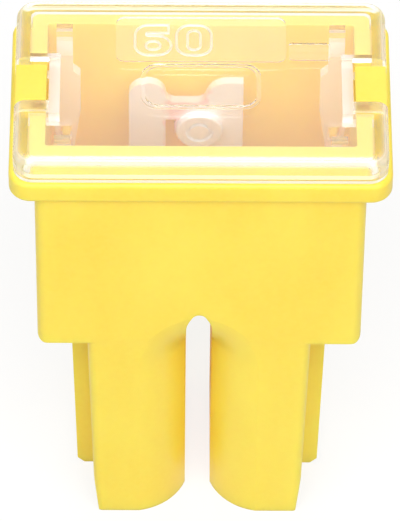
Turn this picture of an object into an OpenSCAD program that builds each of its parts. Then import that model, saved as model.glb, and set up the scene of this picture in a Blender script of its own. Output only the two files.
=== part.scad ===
// Female cartridge fuse for a vehicle fuse box: a moulded two-socket housing, a clear clip-on
// cover, and one folded copper stamping that is two sprung sockets and the link between them.
// Millimetres. Origin: centre of the footprint, at the ends of the two sockets. +Z up, -Y front.

/* [Housing body] */
// Width of the body under the flange
body_w = 18.2; // [17.8:0.1:18.8]
// Depth of the body under the flange
body_d = 12.2; // [12:0.1:12.6]
// Height of the body, from the top of the sockets to the flange
body_h = 12.05; // [11.2:0.05:13.2]
// Radius of the body's upright edges
body_r = 0.6; // [0.4:0.1:0.9]
// Radius of the body's lower edge
body_foot_r = 0.4; // [0.2:0.1:0.6]
// Thickness of the body's end walls
end_wall = 0.6; // [0.5:0.05:0.8]
// Thickness of the floor under the chamber
floor_t = 1; // [0.8:0.1:1.4]

/* [Flange] */
// How far the flange stands out at each end
flange_out_x = 1.4; // [1.2:0.1:1.6]
// How far the flange stands out at front and back
flange_out_y = 0.3; // [0.2:0.05:0.5]
// Thickness of the flange
flange_h = 1.4; // [1.1:0.05:1.6]
// Corner radius of the flange, seen from above
flange_r = 1.2; // [0.9:0.1:1.5]
// Radius of the flange's edges
flange_edge_r = 0.25; // [0.15:0.05:0.35]

/* [Sockets] */
// Length of the sockets below the body
leg_h = 15; // [14:0.1:15.8]
// Half width across both sockets, where they leave the body
leg_x = 6.3; // [6.2:0.1:6.6]
// Draft of the sockets' outer faces, in degrees
leg_draft = 1.3; // [0.8:0.1:1.5]
// How far the sockets' front and rear faces lie inside the body's
leg_step = 0.03; // [0.02:0.01:0.1]
// How far the sockets' outer faces turn in at their lower ends
leg_lead = 0.25; // [0.15:0.05:0.3]
// Height of the turned-in lower ends
leg_lead_h = 3; // [2:0.1:4]
// Radius of the sockets' outer upright edges
leg_edge_r = 0.45; // [0.3:0.05:0.6]
// Radius of the sockets' inner upright corners, which face each other
nose_r = 3.44; // [3.2:0.02:3.5]
// Width of the slot between the sockets
slot_w = 1.46; // [1.3:0.02:1.5]
// Height of the slot's arch above the body's lower edge
slot_rise = 2.4; // [2:0.1:2.6]
// Height of the curved part of the arch
arch_h = 1.56; // [1.2:0.02:1.8]
// Radius of the arch's round tip
arch_tip_r = 0.42; // [0.3:0.02:0.5]
// Height over which the round corners run out into the body
runout_h = 4.7; // [3.8:0.1:5.2]
// How far the guide rib stands out of each socket, where it leaves the body
rib_out = 1.05; // [0.8:0.05:1.2]
// Width of the guide rib
rib_w = 4.8; // [4.2:0.1:5.4]
// Draft of the guide rib's face, in degrees
rib_draft = 1.2; // [0.8:0.1:1.4]
// Chamfer at the lower end of the guide rib
rib_lead = 0.4; // [0.25:0.05:0.6]

/* [Terminal cavities] */
// Distance between the centres of the two terminals
pitch = 6.8; // [6.7:0.05:6.9]
// Thickness of the blade that each socket takes
blade_t = 0.8; // [0.7:0.05:0.9]
// Width of the blade that each socket takes
blade_w = 6.3; // [6:0.1:6.5]
// Clearance round the blade at the mouth of the socket
mouth_gap = 0.3; // [0.2:0.05:0.4]
// Lead-in chamfer of the mouth
mouth_lead = 0.35; // [0.2:0.05:0.45]
// Thickness of the wall that the mouth goes through
mouth_wall = 1; // [0.8:0.1:1.4]
// Clearance between the terminal's spring and the cavity
cavity_gap = 0.07; // [0.05:0.01:0.1]
// Corner radius of the cavity
cavity_r = 0.5; // [0.3:0.05:0.6]

/* [Cover] */
// Height of the cover above the flange
cover_h = 1.75; // [1.5:0.05:2]
// Width of the ledge left on the flange at each end of the cover
ledge_x = 0.25; // [0.15:0.05:0.35]
// Width of the ledge left on the flange before and behind the cover
ledge_y = 0.15; // [0.1:0.05:0.2]
// Thickness of the cover's skirt
skirt_t = 0.8; // [0.7:0.05:0.9]
// Thickness of the cover's top
roof_t = 0.7; // [0.6:0.05:0.8]
// Radius of the cover's upper edge
cover_edge_r = 0.65; // [0.4:0.05:0.7]
// Radius of the cover's lower edge
cover_foot_r = 0.15; // [0.1:0.05:0.2]
// Corner radius of the cover, seen from above
cover_r = 1.1; // [0.9:0.1:1.3]
// Clearance between the cover and the housing's rim
cover_gap = 0.1; // [0.08:0.01:0.15]

/* [Cover notches] */
// Width of the housing's key in each end of the cover
key_w = 3; // [2.7:0.1:3.5]
// How far the key's top lies below the cover's top
key_drop = 0.5; // [0.1:0.05:0.6]
// Clearance between the key and its notch
key_gap = 0.15; // [0.1:0.01:0.2]
// Thickness of the wall round the notch
notch_wall = 0.6; // [0.5:0.05:0.7]

/* [Cover arms] */
// Length of the clip arms below the cover's top
arm_len = 9.5; // [8.5:0.1:10]
// Thickness of the clip arms
arm_t = 0.6; // [0.5:0.05:0.7]
// Width of an arm's neck
arm_neck_w = 0.9; // [0.8:0.05:1]
// Width of an arm's blade
arm_blade_w = 1.7; // [1.5:0.05:1.9]
// Width of an arm's tip
arm_tip_w = 0.85; // [0.7:0.05:1]
// Width of the catch window in an arm
window_w = 0.6; // [0.5:0.05:0.65]
// Height of the catch window in an arm
window_h = 1.1; // [0.9:0.05:1.3]
// Clearance between an arm and the chamber's wall
arm_gap = 0.08; // [0.05:0.01:0.1]

/* [Cover marks] */
// Width of the rating recess
panel_w = 9.4; // [8.6:0.1:9.8]
// Depth of the rating recess, from front to back
panel_d = 3.4; // [3:0.1:3.6]
// Distance from the cover's rear edge to the rating recess
panel_in = 1.5; // [1:0.1:1.7]
// How deep the recesses in the cover's top go
recess_h = 0.15; // [0.1:0.01:0.2]
// Width of the window outline
outline_w = 6.6; // [6:0.1:7]
// Depth of the window outline, from front to back
outline_d = 3.4; // [3:0.1:3.4]
// Width of the outline's groove
outline_t = 0.25; // [0.15:0.01:0.3]

/* [Fuse element] */
// Thickness of the copper sheet
metal_t = 0.5; // [0.4:0.02:0.55]
// Distance from the middle plane back to the sheet's front face
sheet_y = 2.9; // [2.7:0.05:2.95]
// Half width of a terminal over its two sides
terminal_x = 1.65; // [1.55:0.01:1.7]
// How far each spring arm is bowed beyond touching the blade
preload = 0.05; // [0.02:0.01:0.1]
// Height of the folded collar's lower edge
collar_z = 9; // [8.5:0.1:9.5]
// Height of the folded collar
collar_h = 3.6; // [3:0.1:4]
// Width of the left-hand strip
strip_w = 2.05; // [1.8:0.05:2.2]
// Height of the bridge's upper edge above the chamber's floor
bridge_z = 8.9; // [8.4:0.05:9.2]
// Height of the bridge itself
bridge_h = 1.4; // [1:0.05:1.6]
// How far the two horns rise above the bridge
horn_h = 1.55; // [1.2:0.05:1.8]
// Radius of the pad that carries the pellet
pad_r = 1.4; // [1.3:0.02:1.5]

/* [Tin pellet] */
// Radius of the pellet's front head
head_r = 1.3; // [1.16:0.02:1.34]
// Height of the pellet's front head
head_h = 0.45; // [0.35:0.05:0.55]
// Radius of the pellet's shank
shank_r = 0.55; // [0.45:0.05:0.6]
// Radius of the pellet's rear head
tail_r = 0.95; // [0.8:0.05:1.05]
// Height of the pellet's rear head
tail_h = 0.3; // [0.2:0.05:0.35]
// Width of the ring groove in the front head
groove_w = 0.22; // [0.15:0.01:0.25]

/* [Terminal springs] */
// Thickness of the steel spring
spring_t = 0.25; // [0.2:0.01:0.27]
// Clearance between the spring and the terminal
spring_gap = 0.03; // [0.02:0.01:0.05]
// Width of the spring's arms
spring_w = 4; // [3.4:0.1:4.4]

/* [Hidden] */
$fn = 64;
eps = 0.02;

body_z = leg_h;
flange_z = body_z + body_h;
ledge_z = flange_z + flange_h;
top_z = ledge_z + cover_h;
roof_z = top_z - roof_t;
rim_z = roof_z - cover_gap;
flange_w = body_w + 2 * flange_out_x;
flange_d = body_d + 2 * flange_out_y;

cover_w = flange_w - 2 * ledge_x;
cover_d = flange_d - 2 * ledge_y;
inner_w = cover_w - 2 * skirt_t;
inner_d = cover_d - 2 * skirt_t;
rim_w = inner_w - 2 * cover_gap;
rim_d = inner_d - 2 * cover_gap;
rim_r = 0.4;
rim_wall = 0.75;

chamber_x = body_w / 2 - end_wall;
chamber_y = rim_d / 2 - rim_wall;
chamber_z = body_z + floor_t;
chamber_r = 0.15;
leg_over = 0.3;

slot_x = slot_w / 2;
arch_z = body_z + slot_rise;
arch_spring_z = arch_z - arch_h;
arch_up = arch_h - arch_tip_r;
arch_R = (arch_up * arch_up + slot_x * slot_x - arch_tip_r * arch_tip_r) / (2 * (slot_x - arch_tip_r));
arch_turn_z = arch_up * arch_R / (arch_R - arch_tip_r);
saddle_x = pitch / 2 - cavity_x();
saddle_z = arch_z + floor_t;

front_y = -body_d / 2;
nose_past = 0.21;
nose_proud = 0.02;
nose_x = slot_x + nose_r - nose_past;
nose_depth = nose_r - sqrt(nose_r * nose_r - pow(nose_x - slot_x, 2));
runout_z = arch_z - runout_h;
runout_R = (pow(nose_x - slot_x, 2) + runout_h * runout_h) / (2 * (nose_x - slot_x));

key_in = 0.05;
key_x = cover_w / 2 - key_in;
notch_x = chamber_x - key_gap;
notch_y = key_w / 2 + key_gap;
return_y = notch_y + notch_wall;

arm_x = chamber_x - arm_blade_w / 2 - arm_gap;
arm_y = chamber_y - arm_gap;
arm_z = roof_z - arm_len;
neck_h = arm_len / 3;
shoulder_h = 0.4;
taper_h = 3.3;
window_up = 0.75;
window_z = arm_z + window_up;
catch_gap = 0.08;
catch_share = 0.8;
catch_out = arm_gap + arm_t * catch_share;

mark_gap = 0.15;
panel_r = 0.5;
panel_y = cover_d / 2 - panel_in - panel_d / 2;
outline_r = 1;
outline_y = panel_y - panel_d / 2 - mark_gap - outline_d / 2;
blank_w = 2.3;
blank_d = 1.3;
blank_r = 0.2;
blank_x = panel_w / 2 + mark_gap + blank_w / 2;
blank_y = panel_y - panel_d / 2 + mark_gap + blank_d / 2;

term_x = pitch / 2;
contact_up = 0.2;
contact_z = mouth_wall + (collar_z - mouth_wall) / 2 + contact_up;
bow_half = collar_z - contact_z;
contact_x = blade_t / 2 - preload;
bow = terminal_x - metal_t - contact_x;
bow_R = (bow_half * bow_half + bow * bow) / (2 * bow);
bow_x = contact_x + bow_R;
arm_front_y = -3.3;
arm_back_gap = 0.4;
arm_back_y = sheet_y - arm_back_gap;

bridge_top = chamber_z + bridge_z;
bridge_low = bridge_top - bridge_h;
horn_top = bridge_top + horn_h;
strip_side = 0.6;
strip_left = -term_x - strip_side;
strip_right = strip_left + strip_w;
horn_in = 1;
horn_right = term_x - horn_in;
horn_left = horn_right - strip_w;
horn_r = 1.2;
bridge_r = 0.6;
pad_side = 0.4;
pad_sink = pad_r * 0.42;
pad_x = horn_left - pad_side;
pad_z = bridge_low - pad_sink;
jog_gap = 0.25;
jog_z = saddle_z + jog_gap;
jog_h = 1.4;
fold_in_r = 0.1;
fold_r = metal_t + fold_in_r;
head_edge_r = 0.12;
groove_in = head_r * 0.42;
groove_h = head_h / 2;

bow_fn = 128;
spring_in = terminal_x + spring_gap;
spring_out = spring_in + spring_t;
clip_z = collar_z + spring_gap;
clip_drop = 0.4;
clip_h = collar_h - clip_drop;
leaf_low = 0.5;

// Half width of the cavity that holds a terminal and its spring
function cavity_x() = terminal_x + spring_gap + spring_t + cavity_gap;

// Half depth of the cavity that holds a terminal and its spring
function cavity_y() = sheet_y + metal_t + spring_gap + spring_t + cavity_gap;

// Rounded rectangle about the origin
module rounded_rect(w, d, r) {
    square([w - 2 * r, d], center = true);
    square([w, d - 2 * r], center = true);
    for (x = [-1, 1], y = [-1, 1])
        translate([x * (w / 2 - r), y * (d / 2 - r)]) circle(r);
}

// What is taken off a square corner to leave it round
module corner_waste(r) {
    difference() {
        square(2 * r);
        circle(r);
    }
}

// Round web that fills the corner between two edges at a right angle
module corner_web(r) {
    difference() {
        translate([-eps, -eps]) square(r + eps);
        translate([r, r]) circle(r);
    }
}

// Upright section of a block's edge, w wide from the axis, with a round top and foot
module edge_section(w, h, top_r, foot_r) {
    difference() {
        square([w, h]);
        translate([w - top_r, h - top_r]) corner_waste(top_r);
        translate([w - foot_r, foot_r]) mirror([0, 1]) corner_waste(foot_r);
    }
}

// The same section from one side of the block to the other
module full_section(w, h, top_r, foot_r) {
    for (side = [0, 1])
        mirror([side, 0]) edge_section(w / 2, h, top_r, foot_r);
}

// Block with round upright corners and a round top and foot
module soft_block(w, d, h, r, top_r, foot_r) {
    for (x = [-1, 1], y = [-1, 1])
        translate([x * (w / 2 - r), y * (d / 2 - r), 0])
            rotate_extrude() edge_section(r, h, top_r, foot_r);
    rotate([90, 0, 0])
        linear_extrude(d - 2 * r, center = true) full_section(w, h, top_r, foot_r);
    rotate([90, 0, 90])
        linear_extrude(w - 2 * r, center = true) full_section(d, h, top_r, foot_r);
}

// Outline in the front plane, made solid from front to back about the middle plane
module along_y(depth) {
    rotate([90, 0, 0]) linear_extrude(depth, center = true) children();
}

// Body and flange, before anything is hollowed out
module casing() {
    high = body_h + flange_h / 2;
    translate([0, 0, body_z])
        intersection() {
            linear_extrude(high) rounded_rect(body_w, body_d, body_r);
            along_y(2 * body_d)
                difference() {
                    translate([-body_w, 0]) square([2 * body_w, high]);
                    for (side = [0, 1])
                        mirror([side, 0])
                            translate([body_w / 2 - body_foot_r, body_foot_r])
                                mirror([0, 1]) corner_waste(body_foot_r);
                }
        }
    translate([0, 0, flange_z])
        soft_block(flange_w, flange_d, flange_h, flange_r, flange_edge_r, flange_edge_r);
}

// Rim that the cover's skirt fits over, open at each end for the cover's notch
module rim() {
    translate([0, 0, ledge_z - eps])
        linear_extrude(rim_z - ledge_z + eps)
            difference() {
                rounded_rect(rim_w, rim_d, rim_r);
                square([flange_w, 2 * (return_y + cover_gap)], center = true);
            }
}

// Keys at both ends, which the cover's notches fit round
module keys() {
    long = key_x - chamber_x;
    for (side = [-1, 1])
        translate([side * (chamber_x + long / 2), 0, ledge_z - eps])
            linear_extrude(top_z - key_drop - ledge_z + eps)
                square([long, key_w], center = true);
}

// One socket's outer wall, drafted, still without its slot and its round nose
module leg() {
    over = floor_t / 2;
    wide = leg_x + slot_w;
    translate([leg_x, 0, body_z])
        rotate([0, leg_draft, 0])
            difference() {
                translate([-wide / 2, 0, -leg_h - leg_over])
                    linear_extrude(leg_h + leg_over + over)
                        rounded_rect(wide, body_d - 2 * leg_step, leg_edge_r);
                along_y(2 * body_d)
                    polygon([[eps, leg_lead_h - leg_h], [-leg_lead, -leg_h - leg_over],
                             [-leg_lead, -2 * leg_h], [leg_h, -2 * leg_h], [leg_h, 0]]);
            }
}

// Guide rib down the outer side of a socket
module rib() {
    root_x = leg_x - rib_out;
    top_x = leg_x + rib_out;
    low_x = top_x - leg_h * tan(rib_draft);
    along_y(rib_w)
        polygon([[root_x, 0], [low_x - rib_lead, 0], [low_x, rib_lead],
                 [top_x, body_z + floor_t / 2], [root_x, body_z + floor_t / 2]]);
}

// Slot between the sockets, with its tall round arch
module slot() {
    along_y(body_d + 2) {
        translate([-slot_x, -1]) square([slot_w, arch_spring_z + 1]);
        translate([0, arch_spring_z])
            intersection() {
                translate([-slot_x, -eps]) square([slot_w, arch_turn_z + eps]);
                translate([arch_R - slot_x, 0]) circle(arch_R);
                translate([slot_x - arch_R, 0]) circle(arch_R);
            }
        translate([0, arch_spring_z + arch_up]) circle(arch_tip_r);
    }
}

// Cut between the noses: round down the sockets, then curving in to end at the arch
module nose_cut() {
    low = -1;
    translate([0, front_y, 0]) {
        difference() {
            translate([-nose_x, low, low]) cube([2 * nose_x, nose_depth - low, runout_z - low]);
            for (side = [-1, 1])
                translate([side * nose_x, nose_r - nose_proud, 2 * low])
                    cylinder(h = runout_z - 4 * low, r = nose_r);
        }
        difference() {
            translate([0, (nose_depth + low) / 2, runout_z])
                along_y(nose_depth - low)
                    intersection() {
                        translate([-nose_x, 0]) square([2 * nose_x, runout_R]);
                        translate([nose_x - runout_R, 0]) circle(runout_R);
                        translate([runout_R - nose_x, 0]) circle(runout_R);
                    }
            for (side = [-1, 1])
                translate([side * (nose_x - runout_R), nose_r - nose_proud, runout_z])
                    rotate([90, 0, 0])
                        rotate_extrude() translate([runout_R, 0]) circle(nose_r);
        }
    }
}

// Chamber for the link, over the saddle that roofs the slot
module chamber() {
    difference() {
        translate([0, 0, chamber_z])
            linear_extrude(top_z - chamber_z)
                rounded_rect(2 * chamber_x, 2 * chamber_y, chamber_r);
        translate([-saddle_x, -body_d, chamber_z - 1])
            cube([2 * saddle_x, 2 * body_d, saddle_z - chamber_z + 1]);
    }
}

// Cavity for one terminal and the mouth that its blade comes in through
module terminal_space() {
    mouth_x = blade_t / 2 + mouth_gap;
    mouth_d = blade_w + 2 * mouth_gap;
    translate([0, 0, mouth_wall])
        linear_extrude(chamber_z - mouth_wall + eps)
            rounded_rect(2 * cavity_x(), 2 * cavity_y(), cavity_r);
    translate([0, 0, -eps])
        linear_extrude(mouth_wall + 2 * eps) square([2 * mouth_x, mouth_d], center = true);
    along_y(mouth_d)
        polygon([[-mouth_x - mouth_lead - eps, -eps], [mouth_x + mouth_lead + eps, -eps],
                 [mouth_x, mouth_lead], [-mouth_x, mouth_lead]]);
}

// Catch on the chamber's wall, ramped on top, which an arm's window clips over
module catch() {
    high = window_h - 2 * catch_gap;
    wide = window_w - 2 * catch_gap;
    translate([0, chamber_y, window_z + catch_gap])
        rotate([90, 0, 90])
            linear_extrude(wide, center = true)
                polygon([[eps, 0], [-catch_out, 0], [-catch_out, high / 4], [eps, high]]);
}

// Moulded housing: body, flange, rim, sockets and keys in one piece
module housing() {
    color([0.98, 0.85, 0.2]) {
        difference() {
            union() {
                casing();
                rim();
                keys();
                for (side = [0, 1])
                    mirror([side, 0, 0]) {
                        leg();
                        rib();
                    }
            }
            chamber();
            slot();
            for (side = [0, 1]) {
                mirror([0, side, 0]) nose_cut();
                mirror([side, 0, 0]) translate([term_x, 0, 0]) terminal_space();
            }
            translate([-flange_w, -flange_d, -2]) cube([2 * flange_w, 2 * flange_d, 2]);
        }
        for (x = [-1, 1], y = [0, 1])
            translate([x * arm_x, 0, 0]) mirror([0, y, 0]) catch();
    }
}

// Plan of the space under the cover's top, clear of the walls round its notches
module cover_space() {
    difference() {
        rounded_rect(inner_w, inner_d, cover_r - skirt_t + cover_gap);
        for (side = [-1, 1])
            translate([side * (notch_x - notch_wall + cover_w / 2), 0])
                square([cover_w, 2 * return_y], center = true);
    }
}

// Clip arm: neck, blade and tapered tip, with the window that takes the catch
module arm() {
    neck = arm_neck_w / 2;
    blade = arm_blade_w / 2;
    tip = arm_tip_w / 2;
    shoulder_z = roof_z - neck_h;
    translate([0, arm_y - arm_t / 2, 0])
        along_y(arm_t)
            difference() {
                polygon([[-tip, arm_z], [tip, arm_z], [blade, arm_z + taper_h],
                         [blade, shoulder_z - shoulder_h], [neck, shoulder_z],
                         [neck, roof_z + eps], [-neck, roof_z + eps], [-neck, shoulder_z],
                         [-blade, shoulder_z - shoulder_h], [-blade, arm_z + taper_h]]);
                translate([-window_w / 2, window_z]) square([window_w, window_h]);
            }
}

// Recesses in the cover's top: rating panel, blank panel and the window's outline
module cover_marks() {
    translate([0, panel_y]) rounded_rect(panel_w, panel_d, panel_r);
    translate([blank_x, blank_y]) rounded_rect(blank_w, blank_d, blank_r);
    translate([0, outline_y])
        difference() {
            rounded_rect(outline_w, outline_d, outline_r);
            rounded_rect(outline_w - 2 * outline_t, outline_d - 2 * outline_t,
                         outline_r - outline_t);
        }
}

// Clear clip-on cover
module cover() {
    color([0.95, 0.95, 0.92, 0.45]) {
        difference() {
            translate([0, 0, ledge_z])
                soft_block(cover_w, cover_d, cover_h, cover_r, cover_edge_r, cover_foot_r);
            translate([0, 0, ledge_z - eps])
                linear_extrude(roof_z - ledge_z + eps) cover_space();
            for (side = [-1, 1])
                translate([side * (notch_x + cover_w / 2), 0, ledge_z + cover_h / 2])
                    cube([cover_w, 2 * notch_y, cover_h * 2], center = true);
            translate([0, 0, top_z - recess_h]) linear_extrude(recess_h + eps) cover_marks();
        }
        for (x = [-1, 1], y = [0, 1])
            translate([x * arm_x, 0, 0]) mirror([0, y, 0]) arm();
    }
}

// Flat outline of the sheet: two terminal backs, the strips, the bridge and the pellet's pad
module sheet_outline() {
    neck_z = collar_z + collar_h - eps;
    for (side = [-1, 1])
        translate([side * term_x - terminal_x, mouth_wall])
            square([2 * terminal_x, collar_z - mouth_wall + eps]);
    translate([strip_left, neck_z]) square([strip_w, horn_top - strip_w / 2 - neck_z]);
    translate([strip_left + strip_w / 2, horn_top - strip_w / 2]) circle(strip_w / 2);
    translate([-strip_right, neck_z]) square([strip_w, jog_z + jog_h - neck_z]);
    translate([horn_left, jog_z]) square([-strip_left - horn_left, jog_h]);
    difference() {
        translate([horn_left, jog_z]) square([strip_w, horn_top - jog_z]);
        translate([horn_left + horn_r, horn_top - horn_r]) mirror([1, 0]) corner_waste(horn_r);
    }
    translate([strip_right - eps, bridge_low])
        square([horn_left - strip_right + 2 * eps, bridge_h]);
    translate([strip_right, bridge_top]) corner_web(bridge_r);
    translate([horn_left, bridge_top]) mirror([1, 0]) corner_web(bridge_r);
    translate([pad_x, pad_z]) circle(pad_r);
    translate([pad_x - pad_sink, pad_z])
        square([horn_left - pad_x + pad_sink + eps, bridge_low - pad_z + eps]);
}

// Plan of a strip folded into a U round a terminal, open to the front
module fold_plan(out_x, back_y, thick, front, r) {
    long = 2 * (back_y - front);
    difference() {
        translate([0, back_y - long / 2]) rounded_rect(2 * out_x, long, r);
        translate([0, back_y - thick - long / 2])
            rounded_rect(2 * (out_x - thick), long, r - thick);
        translate([-2 * out_x, front - long]) square([4 * out_x, long]);
    }
}

// Section of one bowed arm, a piece of ring between two radii
module bowed_section(r_out, r_in, low, high, reach) {
    intersection() {
        translate([bow_x, contact_z])
            difference() {
                circle(r_out, $fn = bow_fn);
                circle(r_in, $fn = bow_fn);
            }
        translate([0, low]) square([reach, high - low]);
    }
}

// Both bowed arms of a terminal or of its spring, from the front edge back to the rear edge
module bowed_arms(front, back, r_out, r_in, low, high, reach) {
    for (side = [0, 1])
        mirror([side, 0, 0])
            translate([0, (front + back) / 2, 0])
                along_y(back - front) bowed_section(r_out, r_in, low, high, reach);
}

// Folded collar and the two sprung contact arms of one terminal
module terminal() {
    translate([0, 0, collar_z])
        linear_extrude(collar_h)
            fold_plan(terminal_x, sheet_y + metal_t, metal_t, arm_front_y, fold_r);
    bowed_arms(arm_front_y, arm_back_y, bow_R, bow_R - metal_t,
               contact_z - bow_half, collar_z + eps, terminal_x);
}

// Copper stamping: both terminals and the link, in one piece
module fuse_element() {
    color([0.86, 0.8, 0.76]) {
        difference() {
            translate([0, sheet_y + metal_t, 0])
                rotate([90, 0, 0]) linear_extrude(metal_t) sheet_outline();
            translate([pad_x, 0, pad_z])
                rotate([-90, 0, 0]) cylinder(h = body_d, r = shank_r);
        }
        for (side = [-1, 1])
            translate([side * term_x, 0, 0]) terminal();
    }
}

// Tin pellet riveted through the link, with a ring groove in its front head
module tin_pellet() {
    color([0.85, 0.85, 0.84])
        translate([pad_x, sheet_y, pad_z])
            rotate([90, 0, 0])
                rotate_extrude() {
                    difference() {
                        square([head_r, head_h]);
                        translate([head_r - head_edge_r, head_h - head_edge_r])
                            corner_waste(head_edge_r);
                        translate([groove_in, head_h - groove_h])
                            square([groove_w, groove_h + eps]);
                    }
                    translate([0, -metal_t - eps]) square([shank_r, metal_t + 2 * eps]);
                    translate([0, -metal_t - tail_h]) square([tail_r, tail_h]);
                }
}

// Steel spring that backs up one terminal's contact arms
module contact_spring() {
    outer = bow_R - metal_t - spring_gap;
    back = sheet_y + metal_t + spring_gap + spring_t;
    front = arm_back_y - spring_w;
    color([0.6, 0.61, 0.63]) {
        translate([0, 0, clip_z])
            linear_extrude(clip_h)
                fold_plan(spring_out, back, spring_t, front, fold_r + spring_t);
        bowed_arms(front, arm_back_y, outer, outer - spring_t,
                   contact_z - bow_half + leaf_low, clip_z + eps, spring_out);
    }
}

// Spring of the left-hand terminal
module contact_spring_left() {
    translate([-term_x, 0, 0]) contact_spring();
}

// Spring of the right-hand terminal
module contact_spring_right() {
    translate([term_x, 0, 0]) contact_spring();
}

housing();
cover();
fuse_element();
tin_pellet();
contact_spring_left();
contact_spring_right();
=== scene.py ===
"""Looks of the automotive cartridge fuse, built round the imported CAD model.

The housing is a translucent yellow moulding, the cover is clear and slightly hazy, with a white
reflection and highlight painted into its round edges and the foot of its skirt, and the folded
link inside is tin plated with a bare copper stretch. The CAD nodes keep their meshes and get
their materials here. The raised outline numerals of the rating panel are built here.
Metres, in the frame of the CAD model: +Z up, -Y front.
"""

import math

import bmesh
import bpy
from mathutils import Matrix, Vector


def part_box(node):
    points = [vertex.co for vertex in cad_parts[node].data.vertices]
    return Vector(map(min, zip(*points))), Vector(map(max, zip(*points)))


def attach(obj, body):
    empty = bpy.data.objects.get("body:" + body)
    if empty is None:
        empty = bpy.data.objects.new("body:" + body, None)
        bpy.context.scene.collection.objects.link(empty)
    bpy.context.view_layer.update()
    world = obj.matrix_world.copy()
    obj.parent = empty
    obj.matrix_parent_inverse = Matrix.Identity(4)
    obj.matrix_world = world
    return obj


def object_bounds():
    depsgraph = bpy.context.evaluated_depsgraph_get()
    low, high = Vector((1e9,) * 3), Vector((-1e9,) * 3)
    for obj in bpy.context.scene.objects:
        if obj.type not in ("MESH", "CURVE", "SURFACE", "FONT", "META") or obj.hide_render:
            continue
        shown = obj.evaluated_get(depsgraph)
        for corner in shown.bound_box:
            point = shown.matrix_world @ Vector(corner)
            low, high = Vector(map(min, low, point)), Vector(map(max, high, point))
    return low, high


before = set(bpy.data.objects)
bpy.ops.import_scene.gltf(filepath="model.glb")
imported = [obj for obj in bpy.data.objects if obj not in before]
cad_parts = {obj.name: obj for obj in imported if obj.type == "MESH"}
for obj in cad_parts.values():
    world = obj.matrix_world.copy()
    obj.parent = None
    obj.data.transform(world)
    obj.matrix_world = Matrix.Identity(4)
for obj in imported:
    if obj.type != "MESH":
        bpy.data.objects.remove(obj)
cad_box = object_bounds()

MM = 0.001
WHITE = (1.0, 1.0, 1.0, 1.0)

# Camera: the photograph's viewing angle
AIM = Vector((0, 0, 14.5 * MM))
ELEVATION = math.radians(48.5)
YAW = math.radians(-0.49)
ROLL = math.radians(0.64)
DISTANCE = 300 * MM
LENS = 362.6
SHIFT = (0.002, 0.0151)
CLIP_START = 10 * MM

# Lamps: how bright each shows white paper
KEY = 1.1
FILL = 0.1
BACK = 0.5
LAMP_AWAY = 0.4

# Surroundings: their level, and the floor's tone and shade, which fades to plain white
WORLD_LEVEL = 0.32
FLOOR_SIZE = 3.0
FLOOR_DROP = 0.01 * MM
FLOOR_GREY = (0.5, 0.5, 0.5)
FLOOR_PALE = (0.93, 0.93, 0.93)
FLOOR_SHADE = 0.22
SHADE_FROM = 30 * MM
SHADE_TO = 110 * MM

# Range that most of a noise's values lie in
NOISE_LOW = 0.3
NOISE_HIGH = 0.7

# Refraction of the two plastics
NYLON_IOR = 1.52
POLYCARBONATE_IOR = 1.56

# Share of light that passes straight through the clear cover: its faces; its round edges, whose
# white haze is a painted reflection; its arms, hazy and whitened further to paint out the shade in
# the gap at their roots; the textured floors of its recesses; and the foot of its skirt, whose
# white haze is a painted highlight that also paints out the shade at the arm roots beside it
FACE_CLEAR = 0.93
EDGE_REFLECTION_CLEAR = 0.66
ARM_HAZE_AND_LIGHT_CLEAR = 0.62
RECESS_CLEAR = 0.84
FOOT_HIGHLIGHT_CLEAR = 0.38

# Where those lie: the arms' haze, with its painted light, starts this far below the cover's top,
# the skirt is this high and its foot with the painted highlight too, and each changes into the
# next over a soft margin
ARMS_BELOW = 2.6 * MM
SKIRT_H = 1.75 * MM
FOOT_H = 0.3 * MM
SOFT = 0.04 * MM

# Flatness up to which an edge of the cover counts as round, and from which a face is flat
ROUND_EDGE = 0.8
FLAT_FACE = 0.985

# Bare copper stretch of the link, between its two strips
COPPER_LEFT = -1.95 * MM
COPPER_RIGHT = 0.4 * MM
COPPER_LOW = 20 * MM
COPPER_FADE = 0.18 * MM

# Rating panel of the cover, from the cover's edges
PANEL_IN = 1.5 * MM
PANEL_D = 3.4 * MM
PANEL_DEEP = 0.15 * MM

# Numerals in the panel
DIGIT_H = 2.3 * MM
DIGIT_LIFT = 0.04 * MM
SIX_X, SIX_W = -2.65 * MM, 2.0 * MM
SIX_BOWL = 0.64
NOUGHT_X, NOUGHT_W = -0.39 * MM, 1.93 * MM
STROKE = 0.61 * MM
CAP = 0.42 * MM
DIGIT_R = 0.75 * MM

# Raised line that draws the numerals
RIDGE_W = 0.16 * MM
RIDGE_TOP_W = 0.096 * MM
RIDGE_H = 0.07 * MM
RIDGE_SINK = 0.02 * MM
MITRE_LIMIT = 0.5
ARC_STEPS = 8
SAME_POINT = 0.0001 * MM


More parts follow.
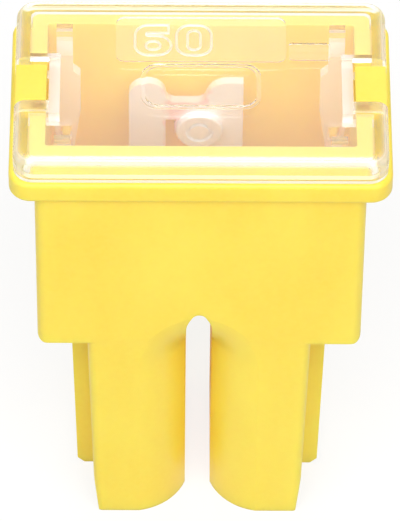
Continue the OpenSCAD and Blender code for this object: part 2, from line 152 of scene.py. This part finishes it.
class Nodes:
    """A node tree, with short calls for what the materials and the world here use."""

    def __init__(self, tree):
        self.nodes = tree.nodes
        self.links = tree.links

    def new(self, kind, **settings):
        node = self.nodes.new(kind)
        for key, value in settings.items():
            setattr(node, key, value)
        return node

    def put(self, value, socket):
        """Links value to a socket, or sets it there when it is a number or a colour."""
        if isinstance(value, bpy.types.NodeSocket):
            self.links.new(value, socket)
        elif isinstance(value, tuple):
            socket.default_value = (*value, 1)
        else:
            socket.default_value = value

    def math(self, operation, a, b):
        node = self.new("ShaderNodeMath", operation=operation)
        self.put(a, node.inputs[0])
        self.put(b, node.inputs[1])
        return node.outputs["Value"]

    def parts(self, vector):
        """The x, y and z of a vector."""
        node = self.new("ShaderNodeSeparateXYZ")
        self.links.new(vector, node.inputs["Vector"])
        return node.outputs

    def mix_shaders(self, share, a, b):
        """Shader a where share is 0, and b where it is 1."""
        node = self.new("ShaderNodeMixShader")
        for value, socket in zip((share, a, b), node.inputs):
            self.links.new(value, socket)
        return node.outputs["Shader"]

    def rays(self, *kinds):
        """1 for rays of any of these kinds, such as "Camera", and 0 for the rest."""
        path = self.new("ShaderNodeLightPath")
        total, *others = [path.outputs[f"Is {kind} Ray"] for kind in kinds]
        for other in others:
            total = self.math("MAXIMUM", total, other)
        return total

    def seen(self):
        """1 for rays from the camera and for those that mirror or pass through a piece."""
        return self.rays("Camera", "Glossy", "Transmission")


class Tree(Nodes):
    """A material's node tree, in the piece's own coordinates."""

    def __init__(self, name):
        self.mat = bpy.data.materials.new(name)
        self.mat.use_nodes = True
        super().__init__(self.mat.node_tree)
        self.shader = self.nodes["Principled BSDF"]
        self.output = self.nodes["Material Output"]
        self.coords = self.new("ShaderNodeTexCoord").outputs["Object"]

    def set(self, **values):
        for key, value in values.items():
            self.shader.inputs[key.replace("_", " ")].default_value = value

    def noise(self, size, detail=2.0, rough=0.5, stretch=(1, 1, 1)):
        """Noise whose features are about size metres across, as a value from 0 to 1."""
        mapping = self.new("ShaderNodeMapping")
        mapping.inputs["Scale"].default_value = stretch
        self.links.new(self.coords, mapping.inputs["Vector"])
        node = self.new("ShaderNodeTexNoise")
        node.inputs["Scale"].default_value = 1 / size
        node.inputs["Detail"].default_value = detail
        node.inputs["Roughness"].default_value = rough
        self.links.new(mapping.outputs["Vector"], node.inputs["Vector"])
        return node.outputs["Fac"]

    def span(self, value, low, high, from_low=NOISE_LOW, from_high=NOISE_HIGH, shape="LINEAR"):
        """value brought from one range into another."""
        node = self.new("ShaderNodeMapRange", interpolation_type=shape)
        for key, number in (("From Min", from_low), ("From Max", from_high),
                            ("To Min", low), ("To Max", high)):
            node.inputs[key].default_value = number
        self.links.new(value, node.inputs["Value"])
        return node.outputs["Result"]

    def blend(self, share, a, b):
        """Colour a where share is 0, and b where it is 1."""
        node = self.new("ShaderNodeMix", data_type="RGBA")
        self.links.new(share, node.inputs["Factor"])
        self.put(a, node.inputs[6])
        self.put(b, node.inputs[7])
        return node.outputs[2]

    def flatness(self):
        """1 on faces square to an axis, less the more a face is turned away from all of them."""
        size = self.new("ShaderNodeVectorMath", operation="ABSOLUTE")
        self.links.new(self.new("ShaderNodeNewGeometry").outputs["Normal"], size.inputs[0])
        x, y, z = self.parts(size.outputs["Vector"])
        return self.math("MAXIMUM", self.math("MAXIMUM", x, y), z)

    def bump(self, *layers):
        """Bump layers, each a height from 0 to 1 and its real depth in metres."""
        normal = None
        for height, depth in layers:
            node = self.new("ShaderNodeBump")
            node.inputs["Strength"].default_value = 1
            node.inputs["Distance"].default_value = depth
            self.links.new(height, node.inputs["Height"])
            if normal is not None:
                self.links.new(normal, node.inputs["Normal"])
            normal = node.outputs["Normal"]
        self.links.new(normal, self.shader.inputs["Normal"])

    def colour(self, socket):
        self.links.new(socket, self.shader.inputs["Base Color"])

    def roughness(self, socket):
        self.links.new(socket, self.shader.inputs["Roughness"])

    def finish(self, share, other):
        """Mixes in another shader, as the surface of the material."""
        mixed = self.mix_shaders(share, self.shader.outputs["BSDF"], other)
        self.links.new(mixed, self.output.inputs["Surface"])

    def let_lamps_through(self):
        """Lets lamps and soft light reach what lies behind a clear piece."""
        clear = self.new("ShaderNodeBsdfTransparent")
        self.finish(self.rays("Shadow", "Diffuse"), clear.outputs["BSDF"])


def housing_plastic():
    """Glass-filled nylon in signal yellow: fine mould grain, faint flow, a little light inside."""
    deep = (0.93, 0.68, 0.062)
    light = (0.975, 0.755, 0.092)
    fibre = (0.99, 0.80, 0.14)
    reach = (1.0, 0.75, 0.2)
    t = Tree("housing_plastic")
    t.set(IOR=NYLON_IOR, Specular_IOR_Level=0.45, Subsurface_Weight=0.5,
          Subsurface_Scale=1.3 * MM, Subsurface_Radius=reach)
    flow = t.noise(5 * MM, detail=3, rough=0.55, stretch=(1, 1, 0.45))
    fleck = t.noise(0.35 * MM, detail=3)
    base = t.blend(t.span(flow, 0, 1), deep, light)
    t.colour(t.blend(t.span(fleck, 0, 0.22), base, fibre))
    t.roughness(t.math("ADD", t.span(flow, 0.30, 0.40), t.span(fleck, 0, 0.10)))
    t.bump((flow, 0.02 * MM), (t.noise(0.11 * MM, detail=3, rough=0.6), 0.004 * MM))
    return t.mat


def cover_clearness(t):
    """Share of light that passes straight through each place of the cover; where less passes,
    white haze paints a reflection into the round edges and a highlight into the skirt's foot.
    """
    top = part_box("cover")[1].z
    height = t.parts(t.coords)["Z"]

    def more_above(z, fade):
        return t.span(height, 0, 1, z - fade, z)

    def more_below(z, fade):
        return t.span(height, 1, 0, z, z + fade)

    # Whiter haze in a place: real haze in the recesses, a painted highlight at the skirt's foot.
    def haze_and_highlight(clear, place, share):
        return t.math("SUBTRACT", clear, t.math("MULTIPLY", place, FACE_CLEAR - share))

    # Arms: real haze, whitened further to paint out the shade that falls in the gap at their
    # roots.
    above_arms = more_above(top - ARMS_BELOW, SOFT)
    clear = t.span(above_arms, ARM_HAZE_AND_LIGHT_CLEAR, FACE_CLEAR, 0, 1)
    recess = top - PANEL_DEEP
    in_recess = t.math("MULTIPLY", more_above(recess - SOFT / 2, SOFT / 2),
                       more_below(recess + SOFT / 2, SOFT / 2))
    clear = haze_and_highlight(clear, in_recess, RECESS_CLEAR)
    # Foot of the skirt and the arm roots below it: white haze as a painted highlight along the
    # cover's lower edge, which also paints out the shade at the arm roots.
    in_foot = t.math("MULTIPLY", above_arms, more_below(top - SKIRT_H + FOOT_H, SOFT))
    clear = haze_and_highlight(clear, in_foot, FOOT_HIGHLIGHT_CLEAR)
    # Round edges: white haze as a painted reflection of the bright surroundings in them.
    edge = t.span(t.flatness(), EDGE_REFLECTION_CLEAR - FACE_CLEAR, 0, ROUND_EDGE, FLAT_FACE)
    return t.math("ADD", clear, edge)


def clear_plastic():
    """Clear polycarbonate, faintly wavy, and hazy where cover_clearness says so, which paints a
    reflection into its round edges and a highlight into the foot of its skirt.
    """
    t = Tree("clear_plastic")
    t.set(IOR=POLYCARBONATE_IOR, Base_Color=(1, 1, 0.99, 1))
    t.links.new(cover_clearness(t), t.shader.inputs["Transmission Weight"])
    flow = t.noise(3.5 * MM, stretch=(0.6, 1, 1))
    t.roughness(t.span(flow, 0.025, 0.07))
    t.bump((flow, 0.004 * MM), (t.noise(0.4 * MM), 0.0003 * MM))
    t.let_lamps_through()
    return t.mat


def moulded_numeral():
    """The numerals: the cover's plastic with an eroded, frosted face."""
    t = Tree("moulded_numeral")
    t.set(IOR=POLYCARBONATE_IOR, Transmission_Weight=0.9, Base_Color=(0.98, 0.98, 0.94, 1))
    grain = t.noise(0.06 * MM)
    t.roughness(t.span(grain, 0.25, 0.5))
    t.bump((grain, 0.004 * MM))
    t.let_lamps_through()
    return t.mat


def bare_stretch(t):
    """Share of bare copper: 1 between the two strips of the link, with an uneven edge."""
    x, _, z = t.parts(t.coords)
    across = t.math("ADD", x, t.span(t.noise(0.5 * MM), -COPPER_FADE, COPPER_FADE))
    left = t.span(across, 0, 1, COPPER_LEFT - COPPER_FADE, COPPER_LEFT + COPPER_FADE)
    right = t.span(across, 1, 0, COPPER_RIGHT - COPPER_FADE, COPPER_RIGHT + COPPER_FADE)
    above = t.span(z, 0, 1, COPPER_LOW, COPPER_LOW + COPPER_FADE)
    return t.math("MULTIPLY", t.math("MULTIPLY", left, right), above)


def plated_copper():
    """Rolled copper strip with a satin tin plate, bare between the strips of the link."""
    tin_low, tin_high = (0.92, 0.95, 0.98), (0.96, 0.98, 1.0)
    copper_low, copper_high = (0.92, 0.65, 0.66), (0.97, 0.75, 0.76)
    t = Tree("plated_copper")
    t.set(Metallic=0.3)
    rolled = t.noise(0.5 * MM, detail=3, rough=0.6, stretch=(1, 1, 0.12))
    cloud = t.noise(1.6 * MM, detail=3)
    plate = t.blend(t.span(cloud, 0, 1), tin_low, tin_high)
    copper = t.blend(t.span(cloud, 0, 1), copper_low, copper_high)
    t.colour(t.blend(bare_stretch(t), plate, copper))
    t.roughness(t.math("ADD", t.span(rolled, 0.34, 0.44), t.span(cloud, 0, 0.08)))
    t.bump((rolled, 0.003 * MM), (t.noise(0.08 * MM), 0.0012 * MM))
    return t.mat


def tin():
    """Dull cast tin with a frosty skin."""
    dull, bright = (0.84, 0.86, 0.89), (0.97, 0.98, 1.0)
    t = Tree("tin")
    t.set(Metallic=0.3)
    skin = t.noise(0.22 * MM, detail=4, rough=0.6)
    t.colour(t.blend(t.span(skin, 0, 1), dull, bright))
    t.roughness(t.span(skin, 0.32, 0.55))
    t.bump((skin, 0.006 * MM))
    return t.mat


def spring_steel():
    """Rolled stainless spring strip."""
    dark, light = (0.42, 0.42, 0.43), (0.56, 0.56, 0.57)
    t = Tree("spring_steel")
    t.set(Metallic=1.0)
    rolled = t.noise(0.3 * MM, detail=3, rough=0.6, stretch=(1, 1, 0.08))
    t.colour(t.blend(t.span(rolled, 0, 1), dark, light))
    t.roughness(t.span(rolled, 0.24, 0.38))
    t.bump((rolled, 0.002 * MM))
    return t.mat


def dress(name, material):
    """Gives a CAD node its material."""
    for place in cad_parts[name].material_slots:
        place.material = material


def add_object(name, data):
    """Puts an object in the scene."""
    piece = bpy.data.objects.new(name, data)
    bpy.context.scene.collection.objects.link(piece)
    return piece


def arc(x, y, r, start, turn=90):
    """Points of an arc about (x, y), from start degrees on, by turn degrees."""
    angles = [math.radians(start + turn * i / ARC_STEPS) for i in range(ARC_STEPS + 1)]
    return [Vector((x + r * math.cos(a), y + r * math.sin(a))) for a in angles]


def rounded_box(x0, y0, x1, y1, r):
    """Closed outline of a rectangle with round corners, counter-clockwise."""
    return (arc(x0 + r, y0 + r, r, 180) + arc(x1 - r, y0 + r, r, 270)
            + arc(x1 - r, y1 - r, r, 0) + arc(x0 + r, y1 - r, r, 90))


def nought_outlines(x, y):
    """Outer and inner outline of a nought about (x, y)."""
    w, h = NOUGHT_W / 2, DIGIT_H / 2
    outer = rounded_box(x - w, y - h, x + w, y + h, DIGIT_R)
    inner = rounded_box(x - w + STROKE, y - h + CAP, x + w - STROKE, y + h - CAP, DIGIT_R - CAP)
    return [outer, inner]


def six_outlines(x, y):
    """Outer outline of a six about (x, y), and that of the hole in its bowl."""
    w, h = SIX_W / 2, DIGIT_H / 2
    x0, x1, y0, y1 = x - w, x + w, y - h, y + h
    bowl = y0 + DIGIT_H * SIX_BOWL
    bowl_r = (bowl - y0) / 2
    crook = STROKE / 4
    outer = (arc(x0 + DIGIT_R, y0 + DIGIT_R, DIGIT_R, 180)
             + arc(x1 - bowl_r, y0 + bowl_r, bowl_r, 270, 180)
             + arc(x0 + STROKE + crook, bowl + crook, crook, 270, -90)
             + arc(x0 + STROKE + crook, y1 - STROKE - crook, crook, 180, -90)
             + [Vector((x1 - crook, y1 - STROKE)), Vector((x1 - crook, y1))]
             + arc(x0 + DIGIT_R, y1 - DIGIT_R, DIGIT_R, 90))
    hole = rounded_box(x0 + STROKE, y0 + CAP, x1 - STROKE, bowl - CAP, bowl_r - CAP)
    return [outer, hole]


def ridge(mesh, outline, floor_z):
    """Adds a raised line with sloping sides along a closed outline, standing on floor_z."""
    points = [p for p, q in zip(outline, outline[1:] + outline[:1])
              if (q - p).length > SAME_POINT]
    section = ((-RIDGE_W / 2, -RIDGE_SINK), (-RIDGE_TOP_W / 2, RIDGE_H),
               (RIDGE_TOP_W / 2, RIDGE_H), (RIDGE_W / 2, -RIDGE_SINK))
    rings = []
    for before, here, after in zip(points[-1:] + points[:-1], points, points[1:] + points[:1]):
        a, b = (here - before).normalized(), (after - here).normalized()
        middle = (a + b).normalized()
        side = Vector((middle.y, -middle.x)) / max(middle.dot(b), MITRE_LIMIT)
        rings.append([mesh.verts.new((*(here + side * out), floor_z + up))
                      for out, up in section])
    for ring, following in zip(rings, rings[1:] + rings[:1]):
        for i in range(len(section)):
            j = (i + 1) % len(section)
            mesh.faces.new((ring[i], ring[j], following[j], following[i]))


def numerals():
    """Raised outline numerals 60 on the floor of the cover's rating panel."""
    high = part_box("cover")[1]
    y = high.y - PANEL_IN - PANEL_D / 2 + DIGIT_LIFT
    z = high.z - PANEL_DEEP
    mesh = bmesh.new()
    for outline in six_outlines(SIX_X, y) + nought_outlines(NOUGHT_X, y):
        ridge(mesh, outline, z)
    bmesh.ops.recalc_face_normals(mesh, faces=mesh.faces)
    data = bpy.data.meshes.new("rating_numerals")
    mesh.to_mesh(data)
    mesh.free()
    data.materials.append(moulded_numeral())
    piece = add_object("rating_numerals", data)
    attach(piece, "root")


def surroundings():
    """Even light all round, shown as white where it is seen or mirrored."""
    world = bpy.data.worlds.new("studio")
    world.use_nodes = True
    w = Nodes(world.node_tree)
    lit = w.nodes["Background"]
    lit.inputs["Color"].default_value = WHITE
    lit.inputs["Strength"].default_value = WORLD_LEVEL
    shown = w.new("ShaderNodeBackground")
    shown.inputs["Color"].default_value = WHITE
    mixed = w.mix_shaders(w.seen(), lit.outputs["Background"], shown.outputs["Background"])
    w.links.new(mixed, w.nodes["World Output"].inputs["Surface"])
    bpy.context.scene.world = world


def floor_paper():
    """Matt paper, pale where it is seen and grey in the light it gives back.

    Its shade is light, and fades to plain white away from the fuse.
    """
    t = Tree("floor_paper")
    t.set(Roughness=0.9, Specular_IOR_Level=0.1)
    seen = t.seen()
    t.colour(t.blend(seen, FLOOR_GREY, FLOOR_PALE))
    away = t.new("ShaderNodeVectorMath", operation="LENGTH")
    t.links.new(t.coords, away.inputs[0])
    plain = t.span(away.outputs["Value"], 1 - FLOOR_SHADE, 1, SHADE_FROM, SHADE_TO, "SMOOTHSTEP")
    glow = t.new("ShaderNodeEmission")
    t.finish(t.math("MULTIPLY", seen, plain), glow.outputs["Emission"])
    return t.mat


def floor():
    """Pale floor under the fuse, which keeps a light shadow."""
    bottom = cad_box[0][2] - FLOOR_DROP
    half = FLOOR_SIZE / 2
    corners = [(-half, -half), (half, -half), (half, half), (-half, half)]
    data = bpy.data.meshes.new("floor")
    data.from_pydata([(x, y, bottom) for x, y in corners], [], [(0, 1, 2, 3)])
    data.materials.append(floor_paper())
    piece = add_object("floor", data)


def lamp(name, height, turn, size, level):
    """Soft square lamp that looks at the fuse, level being how bright it shows white paper.

    height is its angle above the floor, and turn its angle from the front, in degrees.
    """
    data = bpy.data.lights.new(name, "AREA")
    data.size = size
    data.energy = level * math.pi ** 2 * LAMP_AWAY ** 2
    up, round_ = math.radians(height), math.radians(turn)
    piece = add_object(name, data)
    piece.location = AIM + LAMP_AWAY * Vector((math.sin(round_) * math.cos(up),
                                               -math.cos(round_) * math.cos(up), math.sin(up)))
    piece.rotation_euler = (AIM - piece.location).to_track_quat("-Z", "Y").to_euler()


def light_paths():
    """Enough bounces for the bright walls of the chamber and the clear arms in it."""
    paths = bpy.context.scene.cycles
    paths.max_bounces = 32
    paths.diffuse_bounces = 16
    paths.glossy_bounces = 12
    paths.transmission_bounces = 24
    paths.transparent_max_bounces = 24


def camera():
    """Camera at the photograph's angle, aimed at the middle of the fuse."""
    away = Vector((math.sin(YAW) * math.cos(ELEVATION), -math.cos(YAW) * math.cos(ELEVATION),
                   math.sin(ELEVATION)))
    level = Vector((math.cos(YAW), math.sin(YAW), 0))
    right = level * math.cos(ROLL) + away.cross(level) * math.sin(ROLL)
    up = away.cross(right)
    data = bpy.data.cameras.new("camera")
    data.lens = LENS
    data.shift_x, data.shift_y = SHIFT
    data.clip_start = CLIP_START
    piece = add_object("camera", data)
    piece.matrix_world = Matrix.Translation(AIM + away * DISTANCE) @ Matrix(
        (right, up, away)).transposed().to_4x4()
    bpy.context.scene.camera = piece


steel = spring_steel()
for node_name, surface in (("housing", housing_plastic()), ("cover", clear_plastic()),
                           ("fuse_element", plated_copper()), ("tin_pellet", tin()),
                           ("contact_spring_left", steel), ("contact_spring_right", steel)):
    dress(node_name, surface)
numerals()

surroundings()
floor()
lamp("key_left", height=50, turn=-28, size=0.28, level=KEY / 2)
lamp("key_right", height=50, turn=28, size=0.28, level=KEY / 2)
lamp("front_fill", height=12, turn=10, size=0.3, level=FILL)
lamp("back", height=18, turn=180, size=0.25, level=BACK)
camera()
light_paths()
bpy.context.scene.view_settings.view_transform = "Standard"
